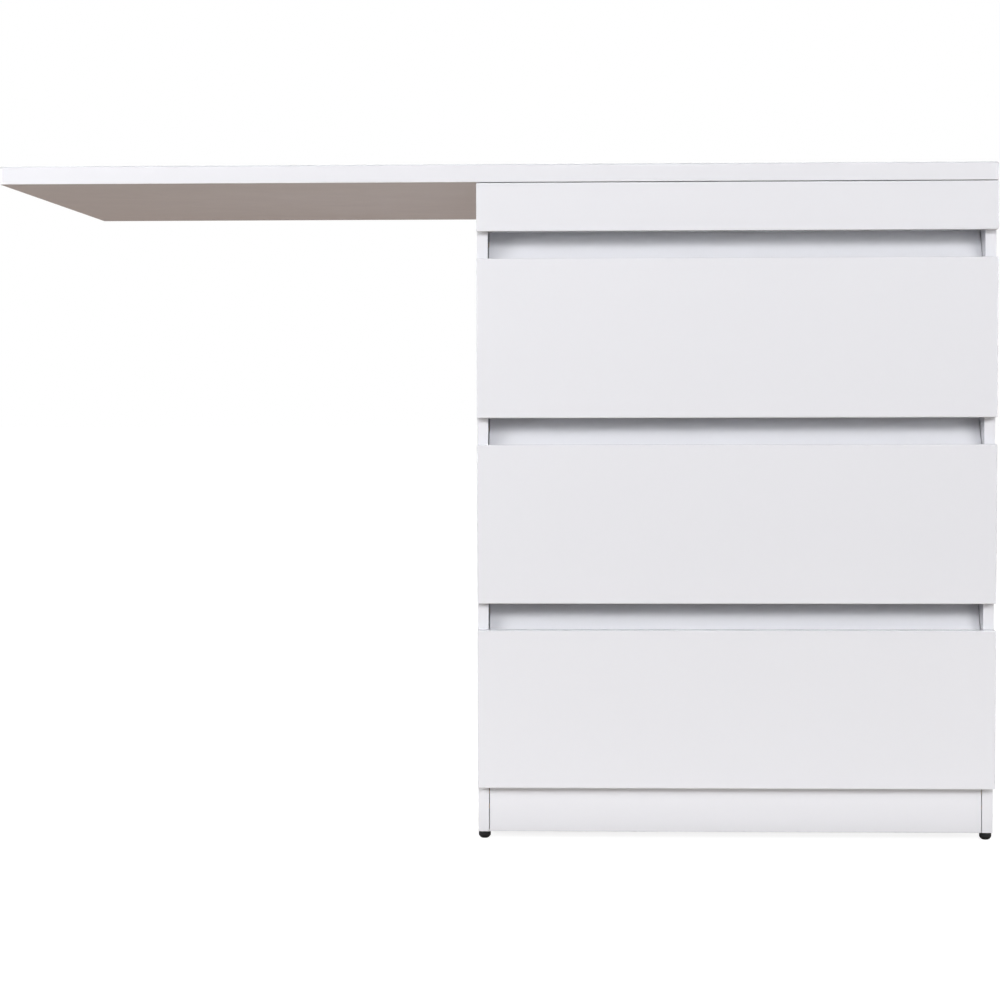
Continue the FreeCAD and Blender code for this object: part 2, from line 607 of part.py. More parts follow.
DESKTOP_SCREW_XS = [f"({CHEST_LEFT} + desktop_screw_inset)", CHEST_MID,
                    f"({CHEST_RIGHT} - desktop_screw_inset)"]
make_desktop()
for side in SIDES:
    make_side_panel(side)
make_floor_board()
make_top_rail("top_rail_front", EDGE_Y, FRONT_RAIL_MID_Y, RAIL_DOWEL_YS[0])
make_top_rail("top_rail_back", f"({INNER_REAR_Y} - top_rail_wide)", BACK_RAIL_MID_Y, RAIL_DOWEL_YS[1])
for level in range(len(LEVELS)):
    make_grip_rail(level)
make_plinth()
make_frieze()
make_back_panel()

# ---------------------------------------------------------------------------------------------------------
# Runners and rollers.  A member's section is drawn in s, the distance from the side panel into the chest.
# ---------------------------------------------------------------------------------------------------------
TRACK_Z = "(channel_high - runner_metal - flange_clear - runner_metal)"
CABINET_AXLE_Z = f"({TRACK_Z} - roller_play - roller_dia / 2)"
DRAWER_AXLE_Z = "(runner_metal + roller_play + roller_dia / 2)"
CABINET_ROLLER_S = "(runner_metal + roller_side_play + roller_wide / 2)"
DRAWER_ROLLER_S = "(runner_space - runner_metal - roller_side_play - roller_wide / 2)"
CABINET_AXLE_Y = f"({RUNNER_Y} + roller_end)"
DRAWER_RUNNER_Y = f"({FRONT_BACK_Y} + runner_back_off)"
DRAWER_AXLE_Y = f"({DRAWER_RUNNER_Y} + {RUNNER_LONG} - roller_end)"
DRAWER_SCREW_YS = [f"({DRAWER_RUNNER_Y} + {offset})" for offset in RUNNER_SCREW_OFFSETS]
AXLE_STUD = "(2 * roller_side_play + roller_wide)"


def across(side, s):
    """X of a point at the distance s from the inner face of this side panel."""
    return f"({INNER_X[side]} {INWARD_SIGN[side]} ({s}))"


def runner_body(name, side, start_y, base_z, section):
    """A runner member: a sheet-steel section of (s, z) formulas, padded along Y."""
    corner_x = INNER_LEFT if side == "left" else INNER_RIGHT
    member = Piece(name, (corner_x, start_y, base_z))
    member.pad("y", "0", [(f"{INWARD_SIGN[side]}({s})", z) for s, z in section], RUNNER_LONG)
    return member


def add_axle(member, side, y, z, from_s, to_s):
    """A riveted axle on a runner, from one distance to the other, with its head at the far end."""
    if number(to_s) > number(from_s):
        near, head_from = from_s, f"({to_s})"
    else:
        near, head_from = to_s, f"({to_s} - axle_head_thick)"
    length = f"(abs({to_s} - ({from_s})))"
    lift_y, lift_z = member.local("y", y), z
    for start, size, long in ((near, "axle_dia", length), (head_from, "axle_head_dia", "axle_head_thick")):
        level = start if side == "left" else f"-(({start}) + ({long}))"
        member.disc("x", level, lift_y, lift_z, size, long)


def make_cabinet_runner(side, level):
    m, lip, high = "runner_metal", "channel_lip", "channel_high"
    section = [("0", "0"), (lip, "0"), (lip, m), (m, m), (m, f"{high} - {m}"), (lip, f"{high} - {m}"),
               (lip, high), ("0", high)]
    member = runner_body(f"cabinet_runner_{LEVELS[level]}_{side}", side, RUNNER_Y, channel_z(level), section)
    member.drill(INWARD[side], across(side, "0"), [(y, runner_screw_z(level)) for y in RUNNER_SCREW_YS],
                 "small_screw_dia + 2 * hole_play", "runner_metal")
    add_axle(member, side, CABINET_AXLE_Y, CABINET_AXLE_Z, "runner_metal", f"(runner_metal + {AXLE_STUD})")


def make_drawer_runner(side, level):
    m = "runner_metal"
    web, out = "(runner_space - runner_metal)", "runner_space"
    foot = "-channel_drop"
    section = [(web, f"{foot} - {m}"), (f"{out} + box_board", f"{foot} - {m}"), (f"{out} + box_board", foot),
               (out, foot), (out, f"{TRACK_Z} + {m}"), ("flange_short", f"{TRACK_Z} + {m}"),
               ("flange_short", TRACK_Z), (web, TRACK_Z)]
    name = f"drawer_{LEVELS[level]}_runner_{side}"
    member = runner_body(name, side, DRAWER_RUNNER_Y, channel_z(level), section)
    member.drill("+z", f"({box_z(level)} - {m})",
                 [(across(side, BOX_SIDE_MID_S), y) for y in DRAWER_SCREW_YS],
                 "small_screw_dia + 2 * hole_play", m)
    add_axle(member, side, DRAWER_AXLE_Y, DRAWER_AXLE_Z, web, f"({web} - {AXLE_STUD})")


BOX_SIDE_MID_S = "(runner_space + box_board / 2)"

# ---------------------------------------------------------------------------------------------------------
# Drawers
# ---------------------------------------------------------------------------------------------------------
BOX_MID_X = {side: across(side, BOX_SIDE_MID_S) for side in SIDES}
BOX_INNER_X = {side: across(side, "(runner_space + box_board)") for side in SIDES}
BOX_INNER_WIDTH = f"({INNER_WIDTH} - 2 * (runner_space + box_board))"
BACK_MID_Y = f"({BOX_REAR_Y} - box_board / 2)"
BACK_LIFT = "(box_bottom_up + box_bottom_thick + groove_play)"


def box_cam_zs(level):
    """Heights of the two cam joints at each corner of a drawer box."""
    base, span = f"({box_z(level)} + {BACK_LIFT})", f"({BOX_HIGH} - {BACK_LIFT})"
    return [f"({base} + {span} * {share})" for share in (0.27, 0.77)]


def bottom_slot_z(level):
    return f"({box_z(level)} + box_bottom_up - groove_play / 2)"


def make_drawer_front(level):
    front = board(f"drawer_{LEVELS[level]}_front", (CHEST_LEFT, FACE_Y, front_z(level)),
                  ("chest_width", "front_board", FRONT_HIGH))
    front.round_edges("front_round", any_edge)
    front.mill("-y", FRONT_BACK_Y, (f"({BOX_INNER_X['left']} - groove_deep)", bottom_slot_z(level)),
               (f"({BOX_INNER_WIDTH} + 2 * groove_deep)", "box_bottom_thick + groove_play"), "groove_deep")
    front.drill("-y", FRONT_BACK_Y, [(x, z) for x in BOX_MID_X.values() for z in box_cam_zs(level)],
                "bolt_thread_dia + 2 * hole_play", "bolt_thread_long + hole_extra")


def make_box_side(side, level):
    left_x = BOX_LEFT if side == "left" else f"({BOX_RIGHT} - box_board)"
    wall = board(f"drawer_{LEVELS[level]}_side_{side}", (left_x, FRONT_BACK_Y, box_z(level)),
                 ("box_board", BOX_LONG, BOX_HIGH))
    upper_edge = number(BOX_HIGH)
    wall.round_edges("panel_arris", lambda e: e.BoundBox.ZMin > upper_edge - 1e-6)
    inner = BOX_INNER_X[side]
    groove_x = f"({inner} - groove_deep)" if side == "left" else inner
    wall.mill("+y", FRONT_BACK_Y, (groove_x, bottom_slot_z(level)),
              ("groove_deep", "box_bottom_thick + groove_play"), BOX_LONG)
    zs = box_cam_zs(level)
    wall.drill("+y", FRONT_BACK_Y, [(BOX_MID_X[side], z) for z in zs], "bolt_hole_dia", "cam_reach")
    wall.drill(OUTWARD[side], inner, [(f"({FRONT_BACK_Y} + cam_reach)", z) for z in zs],
               "cam_dia + 2 * hole_play", "cam_bore")
    wall.drill(OUTWARD[side], inner, [(BACK_MID_Y, z) for z in zs], "bolt_thread_dia + 2 * hole_play",
               "bolt_thread_long + hole_extra")
    wall.drill("+z", box_z(level), [(BOX_MID_X[side], y) for y in DRAWER_SCREW_YS],
               "small_screw_dia + 2 * hole_play", "small_screw_long - runner_metal + hole_extra")


def make_box_back(level):
    back = board(f"drawer_{LEVELS[level]}_back", (BOX_INNER_X["left"], f"({BOX_REAR_Y} - box_board)",
                                                  f"({box_z(level)} + {BACK_LIFT})"),
                 (BOX_INNER_WIDTH, "box_board", f"({BOX_HIGH} - {BACK_LIFT})"))
    zs = box_cam_zs(level)
    bore_ends(back, [(BACK_MID_Y, z) for z in zs], "bolt_hole_dia", "cam_reach")
    cams = [(f"({BOX_INNER_X[side]} {INWARD_SIGN[side]} cam_reach)", z) for side in SIDES for z in zs]
    back.drill("-y", BOX_REAR_Y, cams, "cam_dia + 2 * hole_play", "cam_bore")


def make_box_bottom(level):
    reach = "(groove_deep - groove_play)"
    board(f"drawer_{LEVELS[level]}_bottom",
          (f"({BOX_INNER_X['left']} - {reach})", f"({FRONT_BACK_Y} - {reach})",
           f"({box_z(level)} + box_bottom_up)"),
          (f"({BOX_INNER_WIDTH} + 2 * {reach})", f"({BOX_LONG} + {reach})", "box_bottom_thick"))


def box_fittings(level):
    """A cam and its bolt for each joint of a drawer box."""
    places = []
    for side in SIDES:
        for z in box_cam_zs(level):
            places.append((cam_bolt, (BOX_MID_X[side], FRONT_BACK_Y, z), AIM["+y"]))
            places.append((cam, (BOX_INNER_X[side], f"({FRONT_BACK_Y} + cam_reach)", z),
                           aim_cam(OUTWARD[side], "-y")))
            places.append((cam_bolt, (BOX_INNER_X[side], BACK_MID_Y, z), AIM[INWARD[side]]))
            places.append((cam, (f"({BOX_INNER_X[side]} {INWARD_SIGN[side]} cam_reach)", BOX_REAR_Y, z),
                           aim_cam("-y", OUTWARD[side])))
    return places


AXES = {"x": Vector(1, 0, 0), "y": Vector(0, 1, 0), "z": Vector(0, 0, 1)}


def unit(direction):
    return AXES[direction[1]] * (1 if direction[0] == "+" else -1)


def aim_cam(into, slot):
    """Points a cam's Z into the board and its side slot, on -X, towards the joint face."""
    z_axis, x_axis = unit(into), unit(slot) * -1
    y_axis = z_axis.cross(x_axis)
    return Rotation(x_axis, y_axis, z_axis, "ZXY")


for level, name in enumerate(LEVELS):
    for side in SIDES:
        make_cabinet_runner(side, level)
        make_box_side(side, level)
        make_drawer_runner(side, level)
    make_drawer_front(level)
    make_box_back(level)
    make_box_bottom(level)
    group(f"drawer_{name}_cam_fittings", box_fittings(level))
    group(f"drawer_{name}_runner_screws",
          [(small_screw, (BOX_MID_X[side], y, f"({box_z(level)} - runner_metal)"), AIM["+z"])
           for side in SIDES for y in DRAWER_SCREW_YS])
    axle_z = f"({channel_z(level)} + {CABINET_AXLE_Z})"
    group(f"cabinet_{name}_rollers",
          [(roller, (across(side, CABINET_ROLLER_S), CABINET_AXLE_Y, axle_z), AIM["+x"]) for side in SIDES])
    axle_z = f"({channel_z(level)} + {DRAWER_AXLE_Z})"
    group(f"drawer_{name}_rollers",
          [(roller, (across(side, DRAWER_ROLLER_S), DRAWER_AXLE_Y, axle_z), AIM["+x"]) for side in SIDES])

# ---------------------------------------------------------------------------------------------------------
# Carcass fasteners
# ---------------------------------------------------------------------------------------------------------
def carcass_fittings():
    places = []
    for side in SIDES:
        for z, board_z, ys in ((FLOOR_MID_Z, FLOOR_BOARD_Z, FLOOR_CAM_YS),
                               (TOP_RAIL_MID_Z, TOP_RAIL_Z, RAIL_CAM_YS)):
            for y in ys:
                places.append((cam_bolt, (INNER_X[side], y, z), AIM[INWARD[side]]))
                places.append((cam, (f"({INNER_X[side]} {INWARD_SIGN[side]} cam_reach)", y, board_z),
                               aim_cam("+z", OUTWARD[side])))
    return places


def carcass_dowels():
    joints = [(y, FLOOR_MID_Z) for y in FLOOR_DOWEL_YS]
    joints += [(y, TOP_RAIL_MID_Z) for y in RAIL_DOWEL_YS]
    joints += [(PLINTH_MID_Y, z) for z in PLINTH_DOWEL_ZS]
    joints += [place for level in range(len(LEVELS)) for place in grip_dowels(level)]
    places = [(dowel, (INNER_X[side], y, z), AIM[INWARD[side]]) for side in SIDES for y, z in joints]
    places += [(dowel, (x, EDGE_Y, z), AIM["+y"]) for x in PANEL_MID_X.values() for z in FRIEZE_DOWEL_ZS]
    return places


group("cam_fittings", carcass_fittings())
group("dowels", carcass_dowels())
group("desktop_screws", [(long_screw, (x, y, TOP_RAIL_Z), AIM["+z"])
                         for x in DESKTOP_SCREW_XS for y in RAIL_CAM_YS])
group("runner_screws",
      [(small_screw, (across(side, "runner_metal"), y, runner_screw_z(level)), AIM[OUTWARD[side]])
       for side in SIDES for level in range(len(LEVELS)) for y in RUNNER_SCREW_YS])
group("foot_inserts", [(insert, (FOOT_X[side], y, "foot_lift"), AIM["+z"]) for side in SIDES
                       for y in FOOT_YS.values()])


# ---------------------------------------------------------------------------------------------------------
# Feet
# ---------------------------------------------------------------------------------------------------------
def make_foot(side, end):
    """Levelling foot: a bowl-shaped black base and a stem that is screwed into the sleeve."""
    foot = Piece(f"foot_{end}_{side}", (FOOT_X[side], FOOT_YS[end], "0"))
    sketch = new_sketch(foot.body, "y")
    rim, stem, stem_end = "foot_dia / 2", "foot_stem_dia / 2", "(foot_lift + foot_stem_long)"
    polygon(sketch, [
        ("0", "0"), ("foot_sole_dia / 2", "0"), (f"{rim} - foot_bowl_high / 2", "foot_bowl_high / 3"),
        (rim, "foot_bowl_high"), (rim, "foot_high - 0.7"), (f"{rim} - 0.7", "foot_high"), (stem, "foot_high"),
        (stem, f"{stem_end} - 1"), (f"{stem} - 1", stem_end), ("0", stem_end),
    ])
    turn = add_feature(foot.body, "Revolution", sketch)
    turn.ReferenceAxis = (sketch, ["V_Axis"])
    turn.Angle = 360
    doc.recompute()


for side in SIDES:
    for end in FOOT_YS:
        make_foot(side, end)


# ---------------------------------------------------------------------------------------------------------
# Checks and files
# ---------------------------------------------------------------------------------------------------------
def check_document():
    for item in doc.Objects:
        if "Invalid" in item.State or "Error" in item.State:
            raise RuntimeError(f"{item.Label} failed: {item.State}")
    for body, feature, removes in FEATURES:
        base = getattr(feature, "BaseFeature", None)
        if removes and base is not None and not feature.Shape.Volume < base.Shape.Volume - 1e-6:
            raise RuntimeError(f"{feature.Name} of {body.Label} removes nothing")
    for piece in SUBPARTS:
        if piece.Shape.isNull() or not piece.Shape.isValid() or not piece.Shape.Solids:
            raise RuntimeError(f"{piece.Label} has no valid solid")


doc.recompute()
check_document()
os.makedirs("parts", exist_ok=True)
for piece in SUBPARTS:
    piece.Shape.exportStep(os.path.join("parts", f"{piece.Label}.step"))
print(len(SUBPARTS), "sub-parts")
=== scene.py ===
"""The looks of a white high-gloss corner desk: a long top on a chest with three handle-less drawers."""

import json
import math

import bpy
import numpy as np
from mathutils import Matrix, Vector

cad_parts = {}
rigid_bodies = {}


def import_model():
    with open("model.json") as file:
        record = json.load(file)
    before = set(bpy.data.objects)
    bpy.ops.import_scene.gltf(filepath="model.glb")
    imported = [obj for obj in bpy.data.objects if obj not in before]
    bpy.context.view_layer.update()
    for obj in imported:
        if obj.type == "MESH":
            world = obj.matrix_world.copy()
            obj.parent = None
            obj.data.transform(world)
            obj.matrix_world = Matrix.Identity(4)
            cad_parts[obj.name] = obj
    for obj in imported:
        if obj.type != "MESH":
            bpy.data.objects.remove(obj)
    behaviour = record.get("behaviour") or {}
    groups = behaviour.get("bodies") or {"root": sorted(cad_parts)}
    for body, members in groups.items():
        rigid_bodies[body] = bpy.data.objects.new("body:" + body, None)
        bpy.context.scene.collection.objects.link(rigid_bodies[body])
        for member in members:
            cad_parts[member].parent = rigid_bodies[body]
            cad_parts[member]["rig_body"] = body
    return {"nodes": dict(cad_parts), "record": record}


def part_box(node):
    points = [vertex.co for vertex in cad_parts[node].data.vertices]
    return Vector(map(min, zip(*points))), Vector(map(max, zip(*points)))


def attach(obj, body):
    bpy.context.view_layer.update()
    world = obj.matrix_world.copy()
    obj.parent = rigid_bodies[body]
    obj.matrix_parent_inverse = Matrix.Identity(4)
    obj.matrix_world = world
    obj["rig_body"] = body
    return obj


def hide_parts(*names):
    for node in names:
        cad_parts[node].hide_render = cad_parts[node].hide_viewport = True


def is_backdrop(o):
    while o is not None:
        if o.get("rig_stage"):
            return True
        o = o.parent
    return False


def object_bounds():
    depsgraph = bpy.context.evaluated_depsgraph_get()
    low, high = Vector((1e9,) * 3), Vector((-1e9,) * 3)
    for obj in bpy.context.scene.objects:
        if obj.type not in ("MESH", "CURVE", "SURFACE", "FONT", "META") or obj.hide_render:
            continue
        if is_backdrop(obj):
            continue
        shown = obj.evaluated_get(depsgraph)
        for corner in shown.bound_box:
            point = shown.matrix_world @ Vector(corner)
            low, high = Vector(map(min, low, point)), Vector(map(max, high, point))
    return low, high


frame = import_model()
cad_low, cad_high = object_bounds()

MM = 0.001
SCENE = bpy.context.scene
SCENE.view_settings.view_transform = "Standard"
SIDES = ("left", "right")
LEVELS = ("upper", "middle", "lower")


# ---------------------------------------------------------------------------------------------------------
# Materials
# ---------------------------------------------------------------------------------------------------------
def tint(code):
    """An sRGB hex colour as a linear one with full alpha."""
    parts = [int(code[i:i + 2], 16) / 255 for i in (1, 3, 5)]
    return (*[c / 12.92 if c <= 0.04045 else ((c + 0.055) / 1.055) ** 2.4 for c in parts], 1.0)


def add(tree, kind, links=None, **settings):
    """Adds a node.  A setting is a property of the node or the value of an input; links feed its inputs."""
    node = tree.nodes.new("ShaderNode" + kind)
    for key, value in settings.items():
        if hasattr(node, key):
            setattr(node, key, value)
        else:
            node.inputs[key.replace("_", " ")].default_value = value
    for key, output in (links or {}).items():
        tree.links.new(output, node.inputs[key])
    return node


def new_material(name, **surface):
    """A material with one Principled shader; returns it with its tree, the shader and Object coordinates."""
    material = bpy.data.materials.new(name)
    material.use_nodes = True
    tree = material.node_tree
    tree.nodes.clear()
    shader = add(tree, "BsdfPrincipled", **surface)
    add(tree, "OutputMaterial", {"Surface": shader.outputs["BSDF"]})
    place = add(tree, "TexCoord").outputs["Object"]
    return material, tree, shader, place


def feed(tree, shader, **outputs):
    """Links outputs to the shader's inputs of the same names."""
    for key, output in outputs.items():
        tree.links.new(output, shader.inputs[key.replace("_", " ")])


def noise(tree, place, size_mm, stretch=(1, 1, 1), **settings):
    """Noise whose features are about size_mm across, longer along an axis by its stretch."""
    spread = add(tree, "VectorMath", {0: place}, operation="MULTIPLY")
    spread.inputs[1].default_value = [1 / (size_mm * MM * share) for share in stretch]
    return add(tree, "TexNoise", {"Vector": spread.outputs[0]}, Scale=1.0, **settings).outputs["Fac"]


def between(tree, factor, low, high):
    """A colour that runs between two tints."""
    mix = add(tree, "Mix", {"Factor": factor}, data_type="RGBA")
    mix.inputs[6].default_value = tint(low)
    mix.inputs[7].default_value = tint(high)
    return mix.outputs[2]


def ramp(tree, value, low, high):
    """A number from low to high as a noise value goes through its usual range, 0.3 to 0.7."""
    node = add(tree, "MapRange", {"Value": value}, From_Min=0.3, From_Max=0.7, To_Min=low, To_Max=high)
    return node.outputs["Result"]


def bumps(tree, *layers):
    """Stacks relief: each layer is a height between 0 and 1 and its depth in mm."""
    normal = None
    for height, depth_mm in layers:
        links = {"Height": height}
        if normal:
            links["Normal"] = normal
        normal = add(tree, "Bump", links, Strength=1.0, Distance=depth_mm * MM).outputs["Normal"]
    return normal


def gloss_lacquer():
    """Lacquer sprayed on fibreboard, sanded and buffed: a clean white with a deep, nearly sharp mirror.

    Under it the board keeps a slow wave, 90 mm long, that bends long reflections a little; the spray leaves
    orange peel 3 mm across; wiping leaves smears that only make the mirror softer here and there.
    """
    material, tree, shader, place = new_material("white_gloss_lacquer", IOR=1.5)
    cloud = noise(tree, place, 320, Detail=2.0)
    smear = noise(tree, place, 60, Detail=2.0, Distortion=0.8)
    wave = noise(tree, place, 90, Detail=0.0)
    peel = noise(tree, place, 3, Detail=1.0)
    feed(tree, shader, Base_Color=between(tree, cloud, "#F2F3F7", "#F0F1F5"),
         Roughness=ramp(tree, smear, 0.065, 0.085), Normal=bumps(tree, (wave, 0.006), (peel, 0.0006)))
    return material


def melamine():
    """White melamine paper pressed on chipboard for the boards inside: satin, with a fine pebbled grain.

    Chips under the paper telegraph through as a faint unevenness about 4 mm across.
    """
    material, tree, shader, place = new_material("white_melamine", IOR=1.5)
    cloud = noise(tree, place, 200, Detail=2.0)
    chips = noise(tree, place, 4, Detail=2.0)
    pebble = noise(tree, place, 0.7, Detail=1.0)
    feed(tree, shader, Base_Color=between(tree, cloud, "#EFF0F3", "#ECEDF0"),
         Roughness=ramp(tree, chips, 0.30, 0.38), Normal=bumps(tree, (chips, 0.004), (pebble, 0.003)))
    return material


def hardboard():
    """Thin fibreboard, painted white on a roller: a flat, slightly chalky face.

    The matted fibres under the paint show as fine relief and uneven gloss.
    """
    material, tree, shader, place = new_material("painted_hardboard", IOR=1.48)
    fibres = noise(tree, place, 1.6, stretch=(2.5, 1, 1.3), Detail=4.0, Distortion=1.5)
    cloud = noise(tree, place, 60, Detail=3.0)
    feed(tree, shader, Base_Color=between(tree, cloud, "#E8E9EC", "#E2E3E6"),
         Roughness=ramp(tree, fibres, 0.46, 0.60), Normal=bumps(tree, (fibres, 0.02)))
    return material


def coated_steel():
    """Roll-formed steel strip in white powder coat: half gloss, with the shallow orange peel of baked powder.

    The rollers have polished their track a little: the gloss varies in streaks along the strip.
    """
    material, tree, shader, place = new_material("powder_coated_steel", IOR=1.52)
    peel = noise(tree, place, 1.8, Detail=1.5)
    rub = noise(tree, place, 1.2, stretch=(1, 60, 1), Detail=2.0)
    bake = noise(tree, place, 60, Detail=1.0)
    feed(tree, shader, Base_Color=between(tree, bake, "#EBECEF", "#E8E9EC"),
         Roughness=ramp(tree, rub, 0.27, 0.31), Normal=bumps(tree, (peel, 0.006)))
    return material


def zinc():
    """Cold-headed steel, barrel plated with zinc: a bluish grey, dulled where parts knocked together."""
    material, tree, shader, place = new_material("zinc_plated_steel", Metallic=1.0)
    spangle = noise(tree, place, 0.9, Detail=3.0)
    knocks = noise(tree, place, 0.3, Detail=2.0)
    feed(tree, shader, Base_Color=between(tree, spangle, "#D3D7DC", "#B4B9C1"),
         Roughness=ramp(tree, spangle, 0.20, 0.36), Normal=bumps(tree, (knocks, 0.004)))
    return material


def nylon():
    """Injection-moulded natural nylon: milky, a little see-through at its edges, with a satin tool finish."""
    material, tree, shader, place = new_material(
        "moulded_nylon", IOR=1.53, Subsurface_Weight=0.25, Subsurface_Scale=1.5 * MM,
        Subsurface_Radius=(1.0, 0.9, 0.75))
    flow = noise(tree, place, 2.5, Detail=2.0)
    tool = noise(tree, place, 0.25, Detail=1.0)
    feed(tree, shader, Base_Color=between(tree, flow, "#EFEDE6", "#E7E5DC"),
         Roughness=ramp(tree, flow, 0.36, 0.44), Normal=bumps(tree, (tool, 0.003)))
    return material


def black_plastic():
    """Moulded black polypropylene: near black, with a spark-eroded grain that spreads the highlights."""
    material, tree, shader, place = new_material("black_polypropylene", IOR=1.49)
    grain = noise(tree, place, 0.4, Detail=1.0)
    flow = noise(tree, place, 6, Detail=2.0)
    feed(tree, shader, Base_Color=between(tree, flow, "#1B1B1F", "#232327"),
         Roughness=ramp(tree, flow, 0.34, 0.46), Normal=bumps(tree, (grain, 0.008)))
    return material


def beech():
    """Fluted beech dowel: pale pink-brown wood with the short dark flecks of beech along it."""
    material, tree, shader, place = new_material("turned_beech", IOR=1.5)
    grain = noise(tree, place, 0.6, stretch=(9, 1, 1), Detail=3.0)
    feed(tree, shader, Base_Color=between(tree, grain, "#D9B88B", "#BE9768"),
         Roughness=ramp(tree, grain, 0.5, 0.65), Normal=bumps(tree, (grain, 0.03)))
    return material


LACQUER = gloss_lacquer()
MELAMINE = melamine()
FINISHES = {
    "white_gloss_board": LACQUER,
    "white_hardboard": hardboard(),
    "white_painted_steel": coated_steel(),
    "zinc_steel": zinc(),
    "white_nylon": nylon(),
    "black_plastic": black_plastic(),
    "beech": beech(),
}
# The boards that nobody sees from the front are melamine, as inside most gloss furniture.
INSIDE_BOARDS = ["bottom_panel", "top_rail_front", "top_rail_back"]
INSIDE_BOARDS += [f"drawer_{level}_{part}" for level in LEVELS
                  for part in ("side_left", "side_right", "back")]
SLOTS = {entry["node"]: entry["material_slot"] for entry in frame["record"]["subparts"]}
BODIES = {name: node["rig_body"] for name, node in frame["nodes"].items()}
for name, node in frame["nodes"].items():
    for slot in node.material_slots:
        slot.material = MELAMINE if name in INSIDE_BOARDS else FINISHES[SLOTS[name]]


# ---------------------------------------------------------------------------------------------------------
# Surfaces: grids of points, rows by columns, whose columns close round the shape
# ---------------------------------------------------------------------------------------------------------
AXES = {"x": (1, 2, 0), "y": (2, 0, 1), "z": (0, 1, 2)}


def along(axis, points):
    """Turns points whose last coordinate runs along a piece so that the piece lies along axis."""
    turned_points = np.empty_like(points)
    turned_points[..., AXES[axis]] = points
    return turned_points


def rounded(corners, radius, steps=6):
    """Points and outward normals round a closed outline with an arc at every corner.

    The arc touches both edges that meet there: a point is the arc's centre plus the radius times the normal,
    and the normal swings evenly from the first edge's to the next one's.  Inner corners bend the other way.
    radius is one number, or one for each corner.
    """
    here = np.asarray(corners, float)
    radius = np.broadcast_to(radius, len(here))
    area = np.sum(here[:, 0] * np.roll(here[:, 1], -1) - here[:, 1] * np.roll(here[:, 0], -1))
    if area < 0:
        here, radius = here[::-1], radius[::-1]
    step = np.roll(here, -1, 0) - here
    after = step / np.linalg.norm(step, axis=1)[:, None]
    before = np.roll(after, 1, 0)
    turn = np.arctan2(before[:, 0] * after[:, 1] - before[:, 1] * after[:, 0], np.sum(before * after, 1))
    out = np.stack([before[:, 1], -before[:, 0]], 1)
    side = (np.sign(turn) * radius)[:, None]
    first = here - before * np.abs(side) * np.tan(np.abs(turn) / 2)[:, None]
    angle = np.arctan2(out[:, 1], out[:, 0])[:, None] + turn[:, None] * np.linspace(0, 1, steps)
    normal = np.stack([np.cos(angle), np.sin(angle)], 2)
    points = (first - side * out)[:, None] + side[:, None] * normal
    return points.reshape(-1, 2), normal.reshape(-1, 2)


def bar(outline, axis, low, high, edges, steps=5):
    """A bar of constant section between low and high along axis, with a quarter round at each end.

    With a from -90 to 0 degrees at the low end and from 0 to 90 at the high end, a point is the outline point
    less edge * (1 - cos a) times its normal, and lies edge * (1 - |sin a|) inside the end.
    """
    section, normal = outline
    swing = np.linspace(0, np.pi / 2, steps)
    angle = np.concatenate([swing - np.pi / 2, swing])[:, None]
    edge = np.repeat(edges, steps)[:, None]
    end = np.repeat([low, high], steps)[:, None]
    level = end - np.sign(end - (low + high) / 2) * edge * (1 - np.abs(np.sin(angle)))
    flat = section - (edge * (1 - np.cos(angle)))[..., None] * normal
    points = np.concatenate([flat, np.broadcast_to(level, flat.shape[:2])[..., None]], 2)
    normals = np.concatenate([normal * np.cos(angle)[..., None],
                              np.broadcast_to(np.sin(angle), flat.shape[:2])[..., None]], 2)
    return along(axis, points), along(axis, normals), "capped"


def board(low, high, axis, corner, edges):
    """A board as a bar with a rectangular section whose corners are rounded."""
    u, v, w = AXES[axis]
    outline = rounded([(low[u], low[v]), (high[u], low[v]), (high[u], high[v]), (low[u], high[v])], corner)
    return bar(outline, axis, low[w], high[w], edges)


def turned(outline, centre, axis, around, flip=1, ends="capped"):
    """A turned shape: each (radius, height) of the outline goes once round the axis through centre.

    flip -1 points the heights the other way.  The outline runs up the outside of the shape.
    """
    section, normal = outline
    turn = np.linspace(0, 2 * np.pi, around, endpoint=False) * flip
    rings = [np.stack([p[:, :1] * np.cos(turn), p[:, :1] * np.sin(turn),
                       np.repeat(p[:, 1:] * flip, around, 1)], 2) for p in (section, normal)]
    return along(axis, rings[0]) + np.array(centre), along(axis, rings[1]), ends


def profile(corners, radius, steps=5):
    """An open profile from the axis and back to it: corners as (radius, height), each one rounded."""
    points, normals = rounded([(0, corners[0][1]), *corners, (0, corners[-1][1])], radius, steps)
    return points[steps:-steps], normals[steps:-steps]


def facing(grid):
    """Normals of a grid from the slopes between neighbouring points."""
    round_it = np.roll(grid, -1, 1) - np.roll(grid, 1, 1)
    normal = np.cross(round_it, np.gradient(grid, axis=0))
    return normal / np.maximum(np.linalg.norm(normal, axis=2, keepdims=True), 1e-12)


